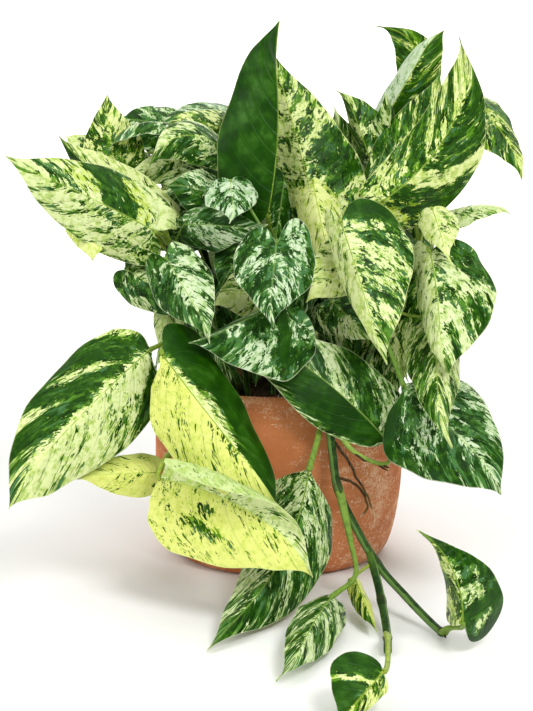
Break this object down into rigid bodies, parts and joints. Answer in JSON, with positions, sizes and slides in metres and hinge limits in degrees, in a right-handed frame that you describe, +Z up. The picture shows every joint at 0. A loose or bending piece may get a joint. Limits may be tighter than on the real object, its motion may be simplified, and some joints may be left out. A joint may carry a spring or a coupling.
{
  "type": "potted pothos plant",
  "caption": "Bushy variegated pothos with cream-marbled green leaves in a rounded terracotta pot, with a vine trailing over the rim and along the ground in front.",
  "frame": {"origin": "centre of the pot's flat base", "axes": "+Z up along the pot's axis; -Y is the front, where the vine trails along the ground; +X is the viewer's right"},
  "size_m": [0.3954, 0.545, 0.4311],
  "materials": {
    "terracotta": "matte, unglazed",
    "soil": "crumbly, matte",
    "foliage": "satin, marbled green and cream"
  },
  "bodies": {
    "root": {"pot": "terracotta", "soil": "soil", "vine_crown": "foliage", "vine_right_top": "foliage", "vine_right_upper": "foliage", "vine_right_side": "foliage", "vine_right_lower": "foliage", "vine_center_right": "foliage", "vine_center": "foliage", "vine_inner": "foliage", "vine_left_top": "foliage", "vine_left": "foliage", "vine_left_mid": "foliage", "vine_low_left": "foliage", "vine_low_yellow": "foliage", "vine_trailing": "foliage", "vine_back_1": "foliage", "vine_back_2": "foliage", "vine_back_3": "foliage", "vine_back_4": "foliage", "vine_back_5": "foliage"}
  },
  "joints": []
}
